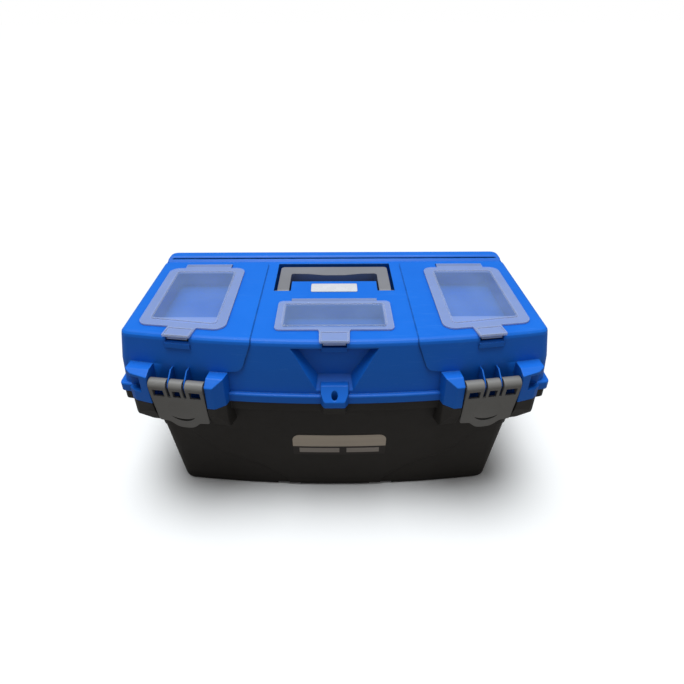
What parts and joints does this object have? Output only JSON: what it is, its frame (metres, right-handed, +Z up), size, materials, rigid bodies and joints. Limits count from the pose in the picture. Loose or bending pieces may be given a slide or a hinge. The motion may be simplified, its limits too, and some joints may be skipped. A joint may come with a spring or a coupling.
{
  "type": "tool box",
  "caption": "Moulded tool box with bowed front, hinged lid with clear-covered organiser wells, folding handle, over-centre latches and lift-out tray.",
  "frame": {"origin": "centre of the bounding box in plan, on the surface the box stands on", "axes": "+X along the box to the right seen from the front, +Y from front to back, +Z up"},
  "size_m": [0.49, 0.26, 0.242],
  "materials": {
    "black_moulding": "fine-textured polypropylene, near-black",
    "blue_moulding": "satin polypropylene, bright blue",
    "grey_moulding": "satin polypropylene, warm grey",
    "tray_moulding": "satin polypropylene, charcoal",
    "clear_moulding": "translucent natural polypropylene",
    "steel": "zinc-plated wire",
    "white_plate": "plain white plate, bare",
    "silver_label": "plain silver and black film, bare"
  },
  "bodies": {
    "base": {"base_tub": "black_moulding", "front_label": "silver_label", "hinge_pin_left": "steel", "hinge_pin_right": "steel"},
    "lid": {"lid_shell": "blue_moulding", "name_plate": "white_plate", "latch_pin_left": "steel", "latch_pin_right": "steel"},
    "handle": {"handle": "grey_moulding"},
    "latch_left": {"latch_left": "grey_moulding"},
    "latch_right": {"latch_right": "grey_moulding"},
    "cover_left": {"cover_left": "clear_moulding"},
    "cover_right": {"cover_right": "clear_moulding"},
    "cover_centre": {"cover_centre": "clear_moulding"},
    "tray": {"tray": "tray_moulding", "tray_handle": "grey_moulding", "tray_divider_1": "tray_moulding", "tray_divider_2": "tray_moulding", "tray_divider_3": "tray_moulding", "tray_divider_4": "tray_moulding"}
  },
  "joints": [
    {"name": "lid_hinge", "type": "hinge", "parent": "base", "child": "lid", "pos_m": [0, 0.1255, 0.16], "axis": [-1, 0, 0], "range_deg": [0, 100]},
    {"name": "handle_fold", "type": "hinge", "parent": "lid", "child": "handle", "pos_m": [0, 0.013, 0.228], "axis": [1, 0, 0], "range_deg": [0, 90]},
    {"name": "latch_left_pull", "type": "hinge", "parent": "lid", "child": "latch_left", "pos_m": [-0.17, -0.11853, 0.1855], "axis": [-0.989, 0.1478, 0], "range_deg": [0, 110]},
    {"name": "latch_right_pull", "type": "hinge", "parent": "lid", "child": "latch_right", "pos_m": [0.17, -0.11853, 0.1855], "axis": [-0.989, -0.1478, 0], "range_deg": [0, 110]},
    {"name": "cover_left_open", "type": "hinge", "parent": "lid", "child": "cover_left", "pos_m": [-0.167, 0.0745, 0.235], "axis": [-1, 0, 0], "range_deg": [0, 100]},
    {"name": "cover_right_open", "type": "hinge", "parent": "lid", "child": "cover_right", "pos_m": [0.167, 0.0745, 0.235], "axis": [-1, 0, 0], "range_deg": [0, 100]},
    {"name": "cover_centre_open", "type": "hinge", "parent": "lid", "child": "cover_centre", "pos_m": [0, -0.021, 0.2338], "axis": [-1, 0, 0], "range_deg": [0, 100]},
    {"name": "tray_lift", "type": "slide", "parent": "base", "child": "tray", "axis": [0, 0, 1], "range_m": [0, 0.045]}
  ]
}
